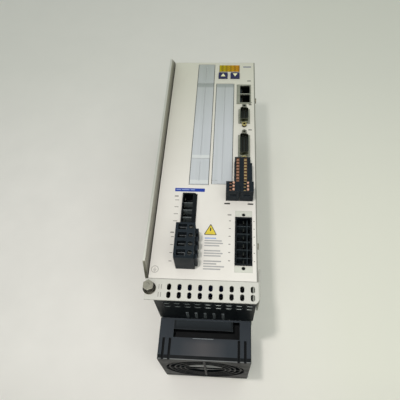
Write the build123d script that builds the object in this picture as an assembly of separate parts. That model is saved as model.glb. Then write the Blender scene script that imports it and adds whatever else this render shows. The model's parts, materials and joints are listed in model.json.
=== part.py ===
"""Wall-mounted servo drive with pluggable terminals and a slide-out fan module.

X runs across the front, from the viewer's left to right. Y runs into the wall behind the drive, which
it meets at Y = 0, so the front faces -Y. Z is up, with Z = 0 at the lower edge of the chassis.
Places on the front are given from the panel's left edge (across) and as a depth behind its face
(behind). What stands out of the face is measured forwards from it.
"""

import os
from math import cos, pi, sin

from build123d import *

# Overall sizes, mm
panel_width = 90.0
panel_height = 280.0
panel_depth = 130.0  # wall to front face

# Sheets, gaps and fits
cover_sheet = 1.2
chassis_sheet = 1.2
rear_sheet = 2.5
seam = 0.3  # between sheets that meet but aren't joined
slip = 0.25  # round a piece that passes through a cut-out
screw_slip = 0.1  # round a screw's shank
board_sheet = 1.6
board_gap = 0.4  # board to the side wall
power_board_inset = 19.8
board_foot = 23.0
beyond = 1.0  # how far a cutting solid passes what it cuts

# Casing
body_inset = 6.3  # chassis wall from the panel's left edge
cover_return = 8.0
strip_height = 17.8
strip_tab = 1.6  # how far the strip passes the panel's left edge
lip_height = 29.0
lip_depth = 30.0
strip_taper = 3.0
vent_width = 3.4
vent_length = 5.6
vent_pitch = 8.46
vent_count = 9
vent_rows = (4.5, 11.2)
vent_first = 18.0
floor_depth = 47.6
floor_rows = (6.4, 14.3)
floor_vent_shift = 2.0
rib_count = 5
rib_pitch = 7.7
rib_width = 2.0
rib_proud = 0.8
rib_span = (30.0, 44.0)
top_vent_length = 34.0
top_vent_inset = 9.0
slot_gap = 0.5  # round each slot cover
slot_rim = 2.4  # of the slot frame round its openings
slot_rest = 2.5  # how much of a slot cover lies on the frame
cover_line_width = 0.7
cover_line_depth = 0.4
notch_size = (5.0, 4.0)
rail_width = 6.0
rail_height = 5.0
rail_depth = 58.0

# Aluminium plate on the left, proud of the front
plate_sheet = 2.0
plate_gap = 0.6
plate_proud = 19.5
plate_foot = 18.4
plate_top_cut = 17.5
plate_foot_cut = 6.6
spacer_radius = 4.0
spacer_depths = (22.0, 105.0)
plate_screw_radius = 2.0
casing_screw_radius = 1.45
casing_head_height = 1.2

# Earth screw
earth_x = 2.0
earth_z = 9.4
earth_radius = 2.5
earth_flats = 8.0
washer_stack = 2.8
plain_washer = (5.4, 1.0)  # radius, thickness
spring_washer_radius = 4.5
earth_head_height = 4.8
earth_nut_height = 4.0

# Inside
fin_sheet = 1.4
fin_count = 14
sink_gap = 4.0  # room for the side plate's nuts
sink_front = 72.0
sink_base = 8.0
module_size = (44.0, 12.0, 80.0)
module_foot = 120.0
terminal_count = 7
terminal_pitch = 10.5
capacitor_radius = 12.5
capacitor_length = 40.0
capacitor_heights = (31.0, 60.0, 89.0)

# Mounting holes in the rear plate
flange_height = 20.0
leg_height = 34.0
mount_hole_radius = 2.75
mount_spacing = 60.0
mount_top = 291.0
mount_foot = -21.0

# Fan module
module_width = 80.5
module_depth = 79.4
module_height = 35.6
module_wall = 2.0
module_gap = 0.3
duct_radius = 36.2
blade_gap = 1.2
hub_radius = 17.5
blade_count = 7
shaft_radius = 1.5
bearing_gap = 0.02
bearing_radius = 4.0
bearing_length = 3.0
duct_top = -17.7
tube_foot = -28.5
tube_wall = 1.2
mount_radius = 14.0
mount_sheet = 2.2
hub_foot = -33.0
hub_wall = 1.6
hub_gap = 0.6  # hub to motor mount
boss_radius = 4.2
blade_sheet = 1.2
blade_root = (40.0, 13.0)  # pitch angle and chord
blade_tip = (28.0, 21.0)
stator_radius = 12.5
guard_rings = (19.5, 24.0, 28.5, 33.5)
guard_wire = 1.2
guard_bar = 1.8
recess_depth = 10.0
grip_depth = 4.0
grip_height = 8.0
groove_width = 2.2
groove_depth = 2.4
corner_radius = 1.5

# Connectors: poles and pitches
power_pitch = 7.62
signal_pitch = 3.5
motor_poles = 6
mains_poles = 4
supply_poles = 4
cavity_depth = 10.0
jack_radius = 1.5
jack_proud = 3.0
jack_flats = 4.6
jack_bore = 1.25
shell_width = 8.3
shell_wall = 0.4
shell_proud = 5.4
insert_recess = 4.4  # how far the insulator lies inside its shell
pin_radius = 0.5
contact_pitch = 2.77
port_height = 12.0
port_depth = 13.0
comb_height = 8.0
comb_poles = 9
io_poles = 3
io_plug_height = 16.5
io_base_height = 3.0
release_size = 1.8
release_depth = 6.0
plug_height = 25.0
supply_base_height = 5.5
pocket_size = 5.0
pocket_depth = 8.0
clamp_radius = 1.8
plug_rib_height = 4.2
plug_rib_proud = 2.2
motor_wall = 1.2
motor_ear = 6.0
motor_proud = 0.8
mains_proud = 2.0
mains_walls = (1.0, 3.6, 1.2)  # left, right, and above and below
blade_height = 2.8
button_travel = 0.8
button_slack = 0.2
button_flange = 0.8  # its thickness, and how far it passes the cap
button_proud = 1.4
switch_front = 5.0
switch_size = 6.0
small_board_front = 8.5
release_travel = 1.0

# Planes that everything is placed from
left_edge = -panel_width / 2
right_edge = panel_width / 2
front = -panel_depth
wall_left = left_edge + body_inset
wall_right = right_edge - cover_sheet - seam
inner_left = wall_left + chassis_sheet
inner_right = wall_right - chassis_sheet
plate_span = (left_edge - plate_gap - plate_sheet, left_edge - plate_gap)
cover_foot = strip_height + seam
chassis_top = panel_height - cover_sheet - seam


def across(distance):
    """X at a distance right of the panel's left edge."""
    return left_edge + distance


def behind(depth):
    """Y at a depth behind the front face."""
    return front + depth


def block(x, y, z):
    """Box between two values along each axis."""
    spans = [sorted(pair) for pair in (x, y, z)]
    size = [high - low for low, high in spans]
    middle = [(low + high) / 2 for low, high in spans]
    return Pos(*middle) * Box(*size)


def rod_x(y, z, x, radius):
    """Cylinder along X."""
    return Pos((x[0] + x[1]) / 2, y, z) * Rot(0, 90, 0) * Cylinder(radius, abs(x[1] - x[0]))


def rod_y(x, z, y, radius):
    """Cylinder along Y."""
    return Pos(x, (y[0] + y[1]) / 2, z) * Rot(90, 0, 0) * Cylinder(radius, abs(y[1] - y[0]))


def rod_z(x, y, z, radius):
    """Cylinder along Z."""
    return Pos(x, y, (z[0] + z[1]) / 2) * Cylinder(radius, abs(z[1] - z[0]))


def slot_y(x, z, y, width, length):
    """Upright oblong through a sheet that faces the front."""
    prism = extrude(SlotOverall(length, width), abs(y[1] - y[0]))
    return Pos(x, max(y), z) * Rot(90, 0, 0) * Rot(0, 0, 90) * prism


def slot_z(x, y, z, length, width, turn=0):
    """Oblong through a level sheet, long across the front until it is turned."""
    prism = extrude(SlotOverall(length, width), abs(z[1] - z[0]))
    return Pos(x, y, min(z)) * Rot(0, 0, turn) * prism


def plate_y(points, y):
    """Flat plate that faces the front, from its outline in X and Z."""
    outline = make_face(Polyline(*points, close=True))
    return Pos(0, max(y), 0) * extrude(Plane.XZ * outline, abs(y[1] - y[0]))


def plate_x(points, x):
    """Upright plate that runs front to back, from its outline in Y and Z."""
    outline = make_face(Polyline(*points, close=True))
    return Pos(min(x), 0, 0) * extrude(Plane.YZ * outline, abs(x[1] - x[0]))


def hexagon_y(x, z, y, flats):
    """Hexagonal prism along Y."""
    prism = extrude(RegularPolygon(flats / 2, 6, major_radius=False, rotation=30), abs(y[1] - y[0]))
    return Pos(x, max(y), z) * Rot(90, 0, 0) * prism


def grow(span, gap):
    """Span made longer at both ends."""
    low, high = sorted(span)
    return (low - gap, high + gap)


def separate(pieces):
    """Group of separate solids in one node."""
    return Compound(children=[solid for piece in pieces for solid in piece.solids()])


def save(name, shape):
    export_step(shape, f"parts/{name}.step")


# Depths of the layers behind the face
board_front = 3.0
board_rear = 66.0
connector_root = 14.0

# Boards run front to back and carry the connectors on their faces
control_x = (inner_right - board_gap - board_sheet, inner_right - board_gap)
power_x = (across(power_board_inset), across(power_board_inset) + board_sheet)

# Where each thing sits on the front: spans across X, then up Z
display_x = (across(50.7), across(72.9))
display_z = (panel_height - 14.7, panel_height - 4.6)
button_x = {"button_up": (across(50.1), across(59.7)), "button_down": (across(63.4), across(73.0))}
button_z = (panel_height - 26.2, panel_height - 17.3)
slot_a_x = (across(27.3), across(45.0))
slot_b_x = (across(48.4), across(67.0))
slot_a_z = (112.0, panel_height - 3.5)
slot_b_z = (113.0, panel_height - 34.4)
slot_a_splits = (142.5, panel_height - 34.5)
rj_x = (control_x[0] - 14.6, control_x[0])
rj_z = (panel_height - 64.3, panel_height - 35.8)
dsub_x = control_x[0] - 6.9
pan_x = (dsub_x - 5.7, dsub_x + 5.7)
header_x = (control_x[0] - 15.9, control_x[0] - 1.3)
io_plug_z = (94.5, 94.5 + io_poles * signal_pitch)
header_z = (io_plug_z[1] + seam, io_plug_z[1] + seam + comb_poles * signal_pitch + 2)
# Height, ring length and half the screw spacing of each D connector
dsubs = ((panel_height - 82.0, 17.0, 12.5), (header_z[1] + 19.8, 25.0, 16.65))
io_plug_x = {
    "left": (control_x[0] - 23.4, control_x[0] - 11.3),
    "right": (control_x[0] - 10.8, control_x[0] + 1.0),
}
motor_x = (control_x[0] - 14.4, control_x[0])
motor_z = (31.9, 31.9 + motor_poles * power_pitch)
mains_x = (power_x[1] + 1.0, power_x[1] + 14.2)
mains_z = (69.4, 69.4 + mains_poles * power_pitch + 1.2)
supply_x = (power_x[1] + 0.6, power_x[1] + 16.6)
supply_z = (27.0, 27.0 + supply_poles * power_pitch)
supply_base_x = (supply_x[0] + 1.6, supply_x[1] - 1.6)
supply_base_z = (supply_z[0] + 1.6, supply_z[1] - 1.6)
pocket_x = (supply_x[0] + 2.2, supply_x[0] + 9.4)
clamp_x = supply_x[1] - 3.1
comb_face = front - comb_height
io_face = front - io_plug_height
supply_face = front - plug_height
io_base_x = {side: (x[0] + 1.4, x[1] - 1.4) for side, x in io_plug_x.items()}
io_base_z = (io_plug_z[0] + 1.4, header_z[0])

# Fan module's box and axis
module_x = (across(46.75) - module_width / 2, across(46.75) + module_width / 2)
module_y = (-rear_sheet - 0.2 - module_depth, -rear_sheet - 0.2)
module_z = (-module_height, -module_gap)
fan_x = sum(module_x) / 2
fan_y = sum(module_y) / 2
recess_x = (module_x[0] + 12.5, module_x[1] - 10.0)
recess_z = (duct_top + 0.7, module_z[1] - 1.7)
grip_x = (recess_x[0], recess_x[1] - 6)
grip_z = (recess_z[1] - grip_height, recess_z[1])
groove_x = (module_x[0] + 4.5, module_x[0] + 10.0, module_x[1] - 10.6, module_x[1] - 5.1)
fan_plug_x = (module_x[1] - 34, module_x[1] - 24)
fan_plug_y = (module_y[1] - module_wall - 6.5, module_y[1] - module_wall)


# Casing


def rear_plate():
    """Mounting plate with a flange above the drive and a leg behind the fan module."""
    plate = block((wall_left, wall_right), (-rear_sheet, 0), (-leg_height, panel_height + flange_height))
    for x in (-mount_spacing / 2, mount_spacing / 2):
        for z in (mount_foot, mount_top):
            plate -= rod_y(x, z, (-rear_sheet - 1, 1), mount_hole_radius)
    return plate


def chassis():
    """Sheet folded over the top and down both sides, open in front and below."""
    y = (front + cover_sheet + seam, -rear_sheet)
    outside = block((wall_left, wall_right), y, (chassis_sheet + seam, chassis_top))
    inside = block((inner_left, inner_right), grow(y, beyond), (-beyond, chassis_top - chassis_sheet))
    sheet = outside - inside
    vent_y = -rear_sheet - top_vent_inset - top_vent_length / 2
    through = grow((chassis_top - chassis_sheet, chassis_top), beyond)
    for i in range(vent_count):
        x = (inner_left + inner_right) / 2 + (i - (vent_count - 1) / 2) * vent_pitch
        sheet -= slot_z(x, vent_y, through, top_vent_length, vent_width, 90)
    for y, z in spacer_places():
        sheet -= rod_x(y, z, grow((wall_left, inner_left), beyond), plate_screw_radius + screw_slip)
    return screw_holes(sheet)


def casing_screw_places():
    """Wall, then X, Y and Z, of each screw that joins the wrap to the cap and the cover."""
    cap_y = behind(lip_depth + 8)
    cover_y = behind(cover_return * 0.62)
    places = [("left", cap_y, strip_height / 2), ("right", cap_y, strip_height / 2)]
    return places + [("cover", cover_y, z) for z in (cover_foot + 34, panel_height - 55)]


def casing_screws():
    """Screws that hold the cap and the cover to the wrap, and the motor header to the cover."""
    seats = {"left": wall_left, "right": wall_right, "cover": right_edge}
    ends = {
        "left": inner_left + seam + chassis_sheet,
        "right": inner_right - seam - chassis_sheet,
        "cover": inner_right - 0.3,
    }
    screws = []
    for wall, y, z in casing_screw_places():
        outward = -1 if wall == "left" else 1
        shank = rod_x(y, z, (ends[wall], seats[wall]), casing_screw_radius)
        seat = seats[wall]
        head = rod_x(y, z, (seat, seat + outward * casing_head_height), casing_screw_radius * 1.9)
        screws.append(shank + head)
    for z in motor_screw_z():
        screws.append(rod_y(sum(motor_x) / 2, z, (front + 0.6, behind(7)), casing_screw_radius))
    return separate(screws)


def screw_holes(sheet):
    """Sheet with a hole for every casing screw."""
    for wall, y, z in casing_screw_places():
        x = wall_left if wall == "left" else wall_right
        sheet -= rod_x(y, z, (x - 4, x + 4), casing_screw_radius + screw_slip)
    return sheet


def bottom_cap():
    """Vented strip below the cover, with a tab for the earth screw, a side lip and inner flanges."""
    lip_x = (right_edge + seam, right_edge + seam + chassis_sheet)
    strip = plate_y(
        [
            (left_edge - strip_tab, 0),
            (lip_x[1] - strip_taper, 0),
            (lip_x[1], strip_taper + 1),
            (lip_x[1], strip_height),
            (left_edge - strip_tab, strip_height),
        ],
        (front, front + cover_sheet),
    )
    through = grow((front, front + cover_sheet), beyond)
    for row in vent_rows:
        for i in range(vent_count):
            strip -= slot_y(across(vent_first + i * vent_pitch), row, through, vent_width, vent_length)
    strip -= rod_y(across(earth_x), earth_z, (front - 1, front + 3), earth_radius + screw_slip)
    lip = block(lip_x, (front, front + lip_depth), (strip_taper + 1, lip_height))
    for low in (inner_left + seam, inner_right - seam - chassis_sheet):
        y = (front + cover_sheet, front + lip_depth + 14)
        strip += block((low, low + chassis_sheet), y, (chassis_sheet + 2 * seam, strip_height - 1))
    return screw_holes(strip + lip)


def bottom_grille():
    """Black floor between the strip and the fan, with two rows of vents and pressed ribs."""
    x = (wall_left, wall_right)
    floor = block(x, (front + cover_sheet + seam, front + floor_depth), (0, chassis_sheet))
    for row in floor_rows:
        for i in range(vent_count):
            vent_x = across(vent_first - floor_vent_shift + i * vent_pitch)
            through = grow((0, chassis_sheet), beyond)
            floor -= slot_z(vent_x, behind(row), through, vent_length, vent_width)
    for i in range(rib_count):
        rib_x = fan_x + (i - (rib_count - 1) / 2) * rib_pitch
        rib_y = (behind(rib_span[0]), behind(rib_span[1]))
        floor += block(grow((rib_x, rib_x), rib_width / 2), rib_y, (-rib_proud, chassis_sheet))
    return floor


def front_cover():
    """White front sheet with folded edges and a cut-out for everything that shows."""
    face = (front, front + cover_sheet)
    fold = (front, front + cover_return)
    z = (cover_foot, panel_height)
    sheet = block((left_edge, right_edge), face, z)
    sheet += block((left_edge, right_edge), fold, (panel_height - cover_sheet, panel_height))
    sheet += block((left_edge, left_edge + cover_sheet), fold, z)
    sheet += block((right_edge - cover_sheet, right_edge), fold, z)
    windows = [(display_x, display_z), (rj_x, rj_z)]
    windows += [(x, button_z) for x in button_x.values()]
    windows += [(x, io_base_z) for x in io_base_x.values()]
    windows += [(header_x, header_z), (motor_x, motor_z)]
    windows += [(mains_x, mains_z), (supply_base_x, supply_base_z)]
    for x, z in windows:
        sheet -= block(grow(x, slip), grow(face, beyond), grow(z, slip))
    for x, z in ((slot_a_x, slot_a_z), (slot_b_x, slot_b_z)):
        sheet -= block(grow(x, slot_gap), grow(face, beyond), grow(z, slot_gap))
    for z, length, spacing in dsubs:
        sheet -= block(grow(pan_x, 0.2), grow(face, beyond), grow(pan_span(z, length), 0.3))
        for side in (-1, 1):
            sheet -= rod_y(dsub_x, z + side * spacing, grow(face, beyond), jack_radius + screw_slip)
    for z in motor_screw_z():
        sheet -= rod_y(sum(motor_x) / 2, z, grow(face, beyond), casing_screw_radius + screw_slip)
    return screw_holes(sheet)


def slot_frame():
    """Sheet behind the cover that the option-slot covers rest on."""
    y = (front + cover_sheet, front + 2 * cover_sheet)
    frame_x = (slot_a_x[0] - slot_rim, header_x[0])
    low = slot_a_z[0] - 4
    sheet = block(frame_x, y, (low, slot_b_z[1] + 4))
    sheet += block(grow(slot_a_x, slot_rim), y, (low, chassis_top - chassis_sheet - 0.4))
    for x, z in ((slot_a_x, slot_a_z), (slot_b_x, slot_b_z)):
        sheet -= block(grow(x, -slot_rest), grow(y, beyond), grow(z, -slot_rest))
    return sheet


def slot_cover(x, z):
    """Blanking plate of an option slot, with a pressed line down its middle."""
    middle = sum(x) / 2
    plate = block(x, (front, front + cover_sheet), z)
    line_x = grow((middle, middle), cover_line_width / 2)
    return plate - block(line_x, (front - beyond, front + cover_line_depth), grow(z, -4))


def slot_covers():
    """Every blanking plate by its node's name."""
    low, high = slot_a_z
    split_low, split_high = slot_a_splits
    notch_x = (slot_b_x[0], slot_b_x[0] + notch_size[0])
    notch_z = (slot_b_z[0] - beyond, slot_b_z[0] + notch_size[1])
    notched = slot_cover(slot_b_x, slot_b_z) - block(notch_x, (front - beyond, front + 0.5), notch_z)
    return {
        "option_cover_lower": slot_cover(slot_a_x, (low, split_low - 0.2)),
        "option_cover_middle": slot_cover(slot_a_x, (split_low + 0.2, split_high - 0.2)),
        "option_cover_upper": slot_cover(slot_a_x, (split_high + 0.2, high)),
        "option_cover_right": notched,
    }


def card_guides():
    """Grooved rails at the foot and the head of each option slot."""
    rails = []
    y = (front + 2 * cover_sheet, behind(rail_depth))
    for x, z in ((slot_a_x, slot_a_z), (slot_b_x, slot_b_z)):
        middle = sum(x) / 2
        groove = (middle - board_sheet / 2 - 0.1, middle + board_sheet / 2 + 0.1)
        for low, toward in ((z[0] + 1, 1), (z[1] - 1, -1)):
            rail = block(grow((middle, middle), rail_width / 2), y, (low, low + toward * rail_height))
            cut = (low + toward * rail_height / 2, low + toward * (rail_height + beyond))
            rails.append(rail - block(groove, grow(y, beyond), cut))
    return separate(rails)


def side_plate():
    """Brushed plate on the left that stands proud of the front, with its corners cut."""
    proud = front - plate_proud
    outline = [
        (-rear_sheet, plate_foot),
        (front, plate_foot),
        (proud, plate_foot + plate_foot_cut),
        (proud, panel_height - plate_top_cut),
        (front, panel_height),
        (-rear_sheet, panel_height),
    ]
    plate = plate_x(outline, plate_span)
    for y, z in spacer_places():
        plate -= rod_x(y, z, grow(plate_span, beyond), plate_screw_radius + screw_slip)
    return plate


def spacer_places():
    """Y and Z of each spacer between the plate and the wrap."""
    heights = (45, panel_height / 2, panel_height - 35)
    return [(behind(depth), z) for depth in spacer_depths for z in heights]


def side_plate_spacers():
    """Tubes that hold the plate off the wrap."""
    span = (plate_span[1], wall_left)
    bore = plate_screw_radius + screw_slip
    return separate(
        [rod_x(y, z, span, spacer_radius) - rod_x(y, z, grow(span, beyond), bore) for y, z in spacer_places()]
    )


def side_plate_screws():
    """Screws through the plate and its spacers into the wrap, with a nut inside."""
    screws = []
    for y, z in spacer_places():
        shank = rod_x(y, z, (plate_span[0], inner_left + 3.2), plate_screw_radius)
        head = rod_x(y, z, (plate_span[0] - 2.2, plate_span[0]), plate_screw_radius * 1.85)
        nut = rod_x(y, z, (inner_left, inner_left + 2.6), plate_screw_radius * 1.8)
        screws.append(shank + head + nut)
    return separate(screws)


def earth_screw():
    """Hexagon-head earth screw with its nut behind the tab."""
    x = across(earth_x)
    top = front - washer_stack
    shank = rod_y(x, earth_z, (top, front + cover_sheet + 5), earth_radius)
    rear = front + cover_sheet
    nut = hexagon_y(x, earth_z, (rear, rear + earth_nut_height), earth_flats)
    return shank + hexagon_y(x, earth_z, (top - earth_head_height, top), earth_flats) + nut


def earth_washers():
    """Plain washer under a smaller spring washer."""
    x = across(earth_x)
    bore = rod_y(x, earth_z, (front - 9, front + 1), earth_radius + screw_slip)
    radius, sheet = plain_washer
    plain = rod_y(x, earth_z, (front - sheet, front), radius) - bore
    spring = rod_y(x, earth_z, (front - washer_stack, front - sheet), spring_washer_radius) - bore
    return separate([plain, spring])


# Inside


def heatsink():
    """Base across the drive with fins that reach back to the mounting plate."""
    x = (inner_left + sink_gap, inner_right - 1)
    z = (18, chassis_top - chassis_sheet - 6)
    base_rear = behind(sink_front + sink_base)
    sink = block(x, (behind(sink_front), base_rear), z)
    step = (x[1] - x[0] - fin_sheet) / (fin_count - 1)
    for i in range(fin_count):
        low = x[0] + i * step
        sink += block((low, low + fin_sheet), (base_rear, -rear_sheet), z)
    return sink


def power_module():
    """Transistor module on the front of the heatsink, with its row of terminals."""
    width, depth, height = module_size
    y = (behind(sink_front - depth), behind(sink_front))
    shape = block((-width / 2, width / 2), y, (module_foot, module_foot + height))
    for i in range(terminal_count):
        low = module_foot + 6 + i * terminal_pitch
        shape += block((3 - width / 2, 6 - width / 2), (y[0] - 3, y[0]), (low, low + 6))
    return shape


def power_board():
    """Board on the left that carries the mains terminals and the capacitors."""
    return block(power_x, (behind(board_front), behind(board_rear)), (board_foot, panel_height - 34))


def capacitors():
    """Link capacitors lying on the power board."""
    x = (power_x[1], power_x[1] + capacitor_length)
    return separate([rod_x(behind(42), z, x, capacitor_radius) for z in capacitor_heights])


def control_board():
    """Board on the right that carries the signal connectors."""
    return block(control_x, (behind(board_front), behind(board_rear)), (board_foot, panel_height - 32))


def display_board():
    """Small board behind the display and the buttons."""
    y = (behind(small_board_front), behind(small_board_front) + board_sheet)
    return block((across(48.5), across(76)), y, (panel_height - 29, chassis_top - 2))


def display_module():
    """Digit block on the small board."""
    return block(grow(display_x, -0.5), (behind(2), behind(small_board_front)), grow(display_z, -0.4))


def display_window():
    """Tinted window in the cover."""
    return block(display_x, (front - 0.3, behind(2)), display_z)


def button(x):
    """Key cap with a flange behind the cover and a stem that reaches its switch."""
    near = front + cover_sheet + button_slack
    far = near + button_flange
    cap = block(x, (front - button_proud, far), button_z)
    flange = block(grow(x, button_flange), (near, far), grow(button_z, button_flange))
    stem_end = behind(switch_front - button_travel - button_slack)
    return cap + flange + rod_y(sum(x) / 2, sum(button_z) / 2, (far, stem_end), 1.6)


def button_switches():
    """Tactile switches on the small board, one behind each key."""
    z = sum(button_z) / 2
    y = (behind(switch_front), behind(small_board_front))
    half = switch_size / 2
    return separate([block(grow((sum(x) / 2,) * 2, half), y, grow((z, z), half)) for x in button_x.values()])


# Connectors


def network_ports():
    """Z spans of the two network ports."""
    middle = sum(rj_z) / 2
    return [(middle - port_height - 0.6, middle - 0.6), (middle + 0.6, middle + 0.6 + port_height)]


def network_shield():
    """Plated shield of the two network ports."""
    shield = block(rj_x, (front - 0.6, behind(port_depth + 3)), rj_z)
    for z in network_ports():
        shield -= block((rj_x[0] + 3.2, rj_x[1] - 0.9), (front - 1, behind(port_depth + 2)), z)
    return shield


def network_inserts():
    """Black insert at the back of each port, with its bank of contacts."""
    inserts = []
    for z in network_ports():
        x = (rj_x[0] + 3.2, rj_x[1] - 0.9)
        back = block(x, (behind(port_depth), behind(port_depth + 2)), z)
        ramp = block((x[0], x[0] + 2), (behind(3), behind(port_depth)), grow(z, -2))
        inserts.append(back + ramp)
    return separate(inserts)


def dsub_outline(length, width):
    """D outline, long across its own X, with its rounded corners."""
    taper = width * 0.16
    points = [
        (-length / 2, width / 2),
        (length / 2, width / 2),
        (length / 2 - taper, -width / 2),
        (-length / 2 + taper, -width / 2),
    ]
    outline = make_face(Polyline(*points, close=True))
    return fillet(outline.vertices(), width * 0.25)


def dsub_prism(z, outline, y):
    """D outline pushed along Y, with its long side upright and its wide side to the left."""
    return Pos(dsub_x, max(y), z) * Rot(90, 0, 0) * Rot(0, 0, 90) * extrude(outline, abs(y[1] - y[0]))


def pan_span(z, length):
    """Heights between which a D connector's pan shows."""
    return grow((z, z), length / 2 + 1.3)


def dsub_core(z, length, y):
    """What fills a D shell from wall to wall."""
    return dsub_prism(z, dsub_outline(length - 2 * shell_wall, shell_width - 2 * shell_wall), y)


def dsub_shells():
    """Plated shell, pan and rear flange of each D connector."""
    shells = []
    for z, length, spacing in dsubs:
        ring_y = (front - shell_proud, front - 0.2)
        flange_y = (front + cover_sheet, front + cover_sheet + 0.8)
        shell = dsub_prism(z, dsub_outline(length, shell_width), ring_y)
        shell += block(pan_x, (front - 0.4, behind(2)), pan_span(z, length))
        shell += block(grow(pan_x, 0.4), flange_y, grow((z, z), spacing + 3))
        for side in (-1, 1):
            shell -= rod_y(dsub_x, z + side * spacing, grow(flange_y, beyond), jack_radius + screw_slip)
        shell -= dsub_core(z, length, (front - shell_proud - beyond, behind(3)))
        tail_y = (behind(2), behind(connector_root))
        shells.append(shell + block((pan_x[0], control_x[0]), tail_y, grow((z, z), length / 2)))
    return separate(shells)


def dsub_inserts():
    """Insulator at the bottom of each D shell."""
    y = (front - shell_proud + insert_recess, behind(2))
    return separate([dsub_core(z, length, y) for z, length, _ in dsubs])


def dsub_pins():
    """Two rows of pins that stand on each insulator, just short of the shell's edge."""
    pins = []
    y = (front - shell_proud + 0.6, front - shell_proud + insert_recess)
    for (z, _, _), contacts in zip(dsubs, (5, 8)):
        for row, count in ((-1.4, contacts), (1.4, contacts - 1)):
            for i in range(count):
                pin_z = z + (i - (count - 1) / 2) * contact_pitch
                pins.append(rod_y(dsub_x + row, pin_z, y, pin_radius))
    return pins


def dsub_jackscrews():
    """Hexagon posts with a threaded mouth at both ends of each D connector."""
    posts = []
    for z, _, spacing in dsubs:
        for side in (-1, 1):
            centre = z + side * spacing
            post = hexagon_y(dsub_x, centre, (front - jack_proud, front), jack_flats)
            post += rod_y(dsub_x, centre, (front, behind(5)), jack_radius)
            posts.append(post - rod_y(dsub_x, centre, (front - 6, front - 0.5), jack_bore))
    return separate(posts)


def comb_rows():
    """Heights of the contact rows in the open part of the signal header."""
    return [header_z[0] + 2.7 + i * signal_pitch for i in range(comb_poles)]


def io_rows():
    """Heights of the rows in the pluggable part."""
    return [io_plug_z[1] - (i + 0.5) * signal_pitch for i in range(io_poles)]


def comb_columns():
    """X spans of the two columns of contact wells."""
    return [(header_x[0] + 1.5, header_x[0] + 4.3), (header_x[0] + 8.6, header_x[0] + 11.4)]


def signal_header():
    """Black header: an open comb above and a low base under each plug."""
    root_y = (front + cover_sheet, behind(connector_root))
    root = block((io_plug_x["left"][0] + 1.5, control_x[0]), root_y, (io_plug_z[0], header_z[0] + 1))
    root += block((header_x[0] + 0.5, control_x[0]), root_y, (io_plug_z[0], header_z[1]))
    comb = block(header_x, (front - comb_height, behind(2)), header_z)
    rail_x = (header_x[1] - 0.1, header_x[1] + 1.6)
    rail = block(rail_x, (front - comb_height, front - seam), (header_z[0], header_z[1] - 2 * signal_pitch))
    header = root + comb + rail
    for x in io_base_x.values():
        header += block(x, (front - io_base_height, behind(2)), io_base_z)
    for low, high in comb_columns():
        for z in comb_rows():
            header -= block((low, high), (comb_face - beyond, front - 2), grow((z, z), 1.4))
    nick_x = (header_x[0] - beyond, header_x[0] + 0.9)
    for z in comb_rows():
        header -= block(nick_x, (comb_face - beyond, comb_face + 3), grow((z, z), 0.5))
    return header


def signal_contacts():
    """Sprung contacts in the comb's wells, pins under the plugs and pins of the D connectors."""
    contacts = dsub_pins()
    for low, high in comb_columns():
        for z in comb_rows():
            contacts.append(block((low + 0.2, high - 0.2), (comb_face + 1.2, front - 2), grow((z, z), 1.1)))
    for x in io_base_x.values():
        for z in io_rows():
            contacts.append(rod_y(x[0] + 1.2, z, (front - 9, front - io_base_height), 0.5))
    return separate(contacts)


def io_plug(side):
    """Push-in plug with three wire funnels, wells for its release keys and a socket behind."""
    x = io_plug_x[side]
    plug = block(x, (io_face, front - seam), io_plug_z)
    socket_y = (front - io_base_height - seam, front + beyond)
    plug -= block(grow(io_base_x[side], seam), socket_y, (io_base_z[0] - seam, io_plug_z[1] + beyond))
    well_y = (io_face - beyond, io_face + release_depth)
    for z in io_rows():
        plug -= block(grow(release_x(side), slip), well_y, grow((z, z), release_size / 2 + slip))
        plug -= block(funnel_x(side), (io_face - beyond, io_face + 4), grow((z, z), 1.3))
        plug -= rod_y(io_base_x[side][0] + 1.2, z, (front - 9.5, front), 0.9)
    middle = sum(x) / 2
    recess_span = (io_plug_z[0] - beyond, io_plug_z[0] + 0.7)
    return plug - block(grow((middle, middle), 3.2), (io_face + 5, io_face + 8.5), recess_span)


def release_x(side):
    """X span of a plug's release keys."""
    low = io_plug_x[side][0] + 5.8
    return (low, low + release_size)


def funnel_x(side):
    """X span of a plug's wire funnels."""
    low = io_plug_x[side][0] + 2.8
    return (low, low + 2.4)


def release_key(side, z):
    """Orange key that opens one spring clamp."""
    y = (io_face - 0.9, io_face + release_depth - release_travel - 0.5)
    return block(release_x(side), y, grow((z, z), release_size / 2))


def io_clamps(side):
    """Copper clamp seen at the bottom of each wire funnel."""
    x = grow(funnel_x(side), -0.2)
    return separate([block(x, (io_face + 2, io_face + 4), grow((z, z), 1.1)) for z in io_rows()])


def shroud(x, z, face, wall):
    """Open-fronted connector housing with a cavity that stops at its floor."""
    housing = block(x, (face, behind(connector_root)), z)
    cavity_x = (x[0] + wall, x[1] - wall)
    return housing - block(cavity_x, (face - beyond, behind(cavity_depth)), grow(z, -wall))


def pole_heights(z, poles):
    """Height of each pole of a power connector."""
    middle = sum(z) / 2
    return [middle + (i - (poles - 1) / 2) * power_pitch for i in range(poles)]


def motor_screw_z():
    """Heights of the two screws that fix the motor header."""
    return (motor_z[0] - 2.6, motor_z[1] + 2.6)


def motor_header():
    """Motor output header, with ears behind the cover for its screws."""
    header = shroud(motor_x, motor_z, front - motor_proud, motor_wall)
    ears_y = (front + cover_sheet, behind(5))
    ears = block(grow(motor_x, -2), ears_y, grow(motor_z, motor_ear))
    ears -= block(grow(motor_x, -motor_wall), grow(ears_y, beyond), grow(motor_z, -motor_wall))
    for z in motor_screw_z():
        ears -= rod_y(sum(motor_x) / 2, z, grow(ears_y, beyond), casing_screw_radius + screw_slip)
    return header + ears


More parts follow.
